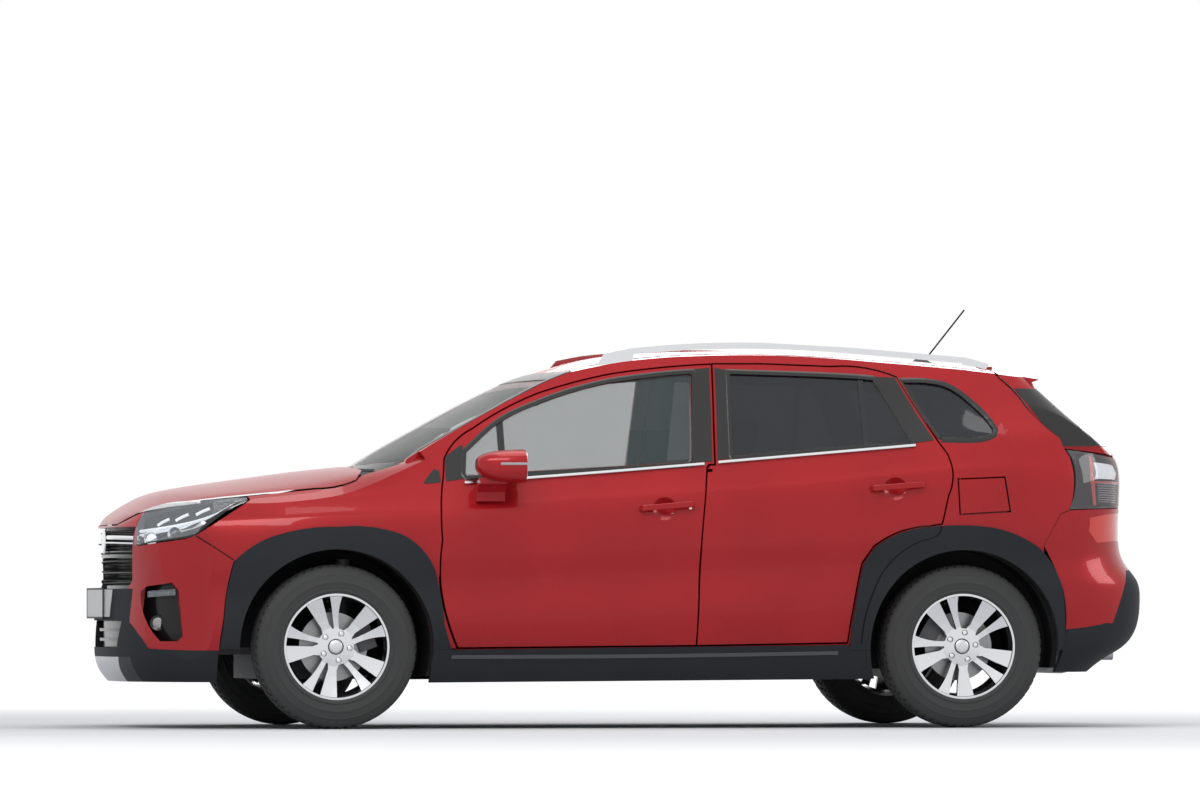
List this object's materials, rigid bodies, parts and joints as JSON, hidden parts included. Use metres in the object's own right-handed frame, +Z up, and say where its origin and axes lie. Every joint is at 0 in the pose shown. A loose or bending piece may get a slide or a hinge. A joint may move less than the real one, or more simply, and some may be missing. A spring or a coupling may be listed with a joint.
{
  "type": "crossover suv",
  "caption": "Compact five-door crossover with roof rails, body cladding, opening doors, bonnet, tailgate and fuel flap, steered front wheels and free-turning wheels.",
  "frame": {"origin": "centre of the car's length and width, on the ground", "axes": "+X to the rear, +Y to the car's right, +Z up"},
  "size_m": [4.3192, 2.0712, 1.7444],
  "materials": {
    "body_paint": "gloss",
    "clear_glass": "clear",
    "dark_glass": "tinted",
    "black_plastic": "textured",
    "gloss_black": "gloss",
    "lamp_lens": "clear",
    "lamp_smoke": "smoked",
    "lamp_red": "gloss",
    "silver_trim": "satin",
    "plate_white": "satin",
    "tyre_rubber": "matte",
    "alloy": "machined",
    "steel": "bare",
    "cast_dark": "rough",
    "underbody": "satin",
    "cloth": "woven",
    "dash_plastic": "grained"
  },
  "bodies": {
    "body": {"antenna": "black_plastic", "arch_cladding": "black_plastic", "body_side_left": "body_paint", "body_side_right": "body_paint", "bumper_beam": "underbody", "cowl": "black_plastic", "dashboard": "dash_plastic", "engine_block": "cast_dark", "exhaust": "steel", "floor_pan": "underbody", "front_bumper": "body_paint", "front_lamps": "lamp_lens", "front_plate": "plate_white", "front_seats": "cloth", "front_suspension": "cast_dark", "front_wings": "body_paint", "fuel_tank": "underbody", "grilles": "gloss_black", "quarter_glass": "dark_glass", "radiator": "cast_dark", "rear_axle": "cast_dark", "rear_bench": "cloth", "rear_bumper": "body_paint", "rear_frame": "underbody", "reflectors": "lamp_red", "roof": "body_paint", "roof_rails": "silver_trim", "sill_cladding": "black_plastic", "skid_lip": "silver_trim", "steering_wheel": "dash_plastic", "tail_lamps": "lamp_smoke", "windscreen": "clear_glass"},
    "front_door_left": {"front_door_left": "body_paint", "front_door_glass_left": "clear_glass", "mirror_left": "body_paint"},
    "rear_door_left": {"rear_door_left": "body_paint", "rear_door_glass_left": "dark_glass"},
    "front_knuckle_left": {"front_knuckle_left": "cast_dark"},
    "front_wheel_left": {"front_tyre_left": "tyre_rubber", "front_rim_left": "alloy"},
    "rear_wheel_left": {"rear_tyre_left": "tyre_rubber", "rear_rim_left": "alloy"},
    "front_door_right": {"front_door_right": "body_paint", "front_door_glass_right": "clear_glass", "mirror_right": "body_paint"},
    "rear_door_right": {"rear_door_right": "body_paint", "rear_door_glass_right": "dark_glass"},
    "front_knuckle_right": {"front_knuckle_right": "cast_dark"},
    "front_wheel_right": {"front_tyre_right": "tyre_rubber", "front_rim_right": "alloy"},
    "rear_wheel_right": {"rear_tyre_right": "tyre_rubber", "rear_rim_right": "alloy"},
    "bonnet": {"bonnet": "body_paint"},
    "tailgate": {"tailgate": "body_paint", "tailgate_glass": "dark_glass", "rear_plate": "plate_white"},
    "fuel_flap": {"fuel_flap": "body_paint"}
  },
  "joints": [
    {"name": "front_door_left_hinge", "type": "hinge", "parent": "body", "child": "front_door_left", "pos_m": [-0.77, -0.864, 0.582], "axis": [0, 0, -1], "range_deg": [0, 65]},
    {"name": "rear_door_left_hinge", "type": "hinge", "parent": "body", "child": "rear_door_left", "pos_m": [0.3, -0.864, 0.627], "axis": [0, 0, -1], "range_deg": [0, 65]},
    {"name": "steer_left", "type": "hinge", "parent": "body", "child": "front_knuckle_left", "pos_m": [-1.28, -0.7, 0.334], "axis": [0, 0, 1], "range_deg": [-32, 32]},
    {"name": "front_wheel_left_spin", "type": "hinge", "parent": "front_knuckle_left", "child": "front_wheel_left", "pos_m": [-1.28, -0.7675, 0.334], "axis": [0, 1, 0], "continuous": true},
    {"name": "rear_wheel_left_spin", "type": "hinge", "parent": "body", "child": "rear_wheel_left", "pos_m": [1.32, -0.7525, 0.334], "axis": [0, 1, 0], "continuous": true},
    {"name": "front_door_right_hinge", "type": "hinge", "parent": "body", "child": "front_door_right", "pos_m": [-0.77, 0.864, 0.582], "axis": [0, 0, 1], "range_deg": [0, 65]},
    {"name": "rear_door_right_hinge", "type": "hinge", "parent": "body", "child": "rear_door_right", "pos_m": [0.3, 0.864, 0.627], "axis": [0, 0, 1], "range_deg": [0, 65]},
    {"name": "steer_right", "type": "hinge", "parent": "body", "child": "front_knuckle_right", "pos_m": [-1.28, 0.7, 0.334], "axis": [0, 0, 1], "range_deg": [-32, 32]},
    {"name": "front_wheel_right_spin", "type": "hinge", "parent": "front_knuckle_right", "child": "front_wheel_right", "pos_m": [-1.28, 0.7675, 0.334], "axis": [0, 1, 0], "continuous": true},
    {"name": "rear_wheel_right_spin", "type": "hinge", "parent": "body", "child": "rear_wheel_right", "pos_m": [1.32, 0.7525, 0.334], "axis": [0, 1, 0], "continuous": true},
    {"name": "bonnet_hinge", "type": "hinge", "parent": "body", "child": "bonnet", "pos_m": [-1.07, 0, 1], "axis": [0, 1, 0], "range_deg": [0, 50]},
    {"name": "tailgate_hinge", "type": "hinge", "parent": "body", "child": "tailgate", "pos_m": [1.513, 0, 1.495], "axis": [0, -1, 0], "range_deg": [0, 75]},
    {"name": "fuel_flap_hinge", "type": "hinge", "parent": "body", "child": "fuel_flap", "pos_m": [1.307, -0.86847, 0.948], "axis": [0.0433, -0.0744, -0.9963], "range_deg": [0, 80]}
  ],
  "couplings": [
    {"joint": "steer_right", "follows": "steer_left", "ratio": 1}
  ]
}
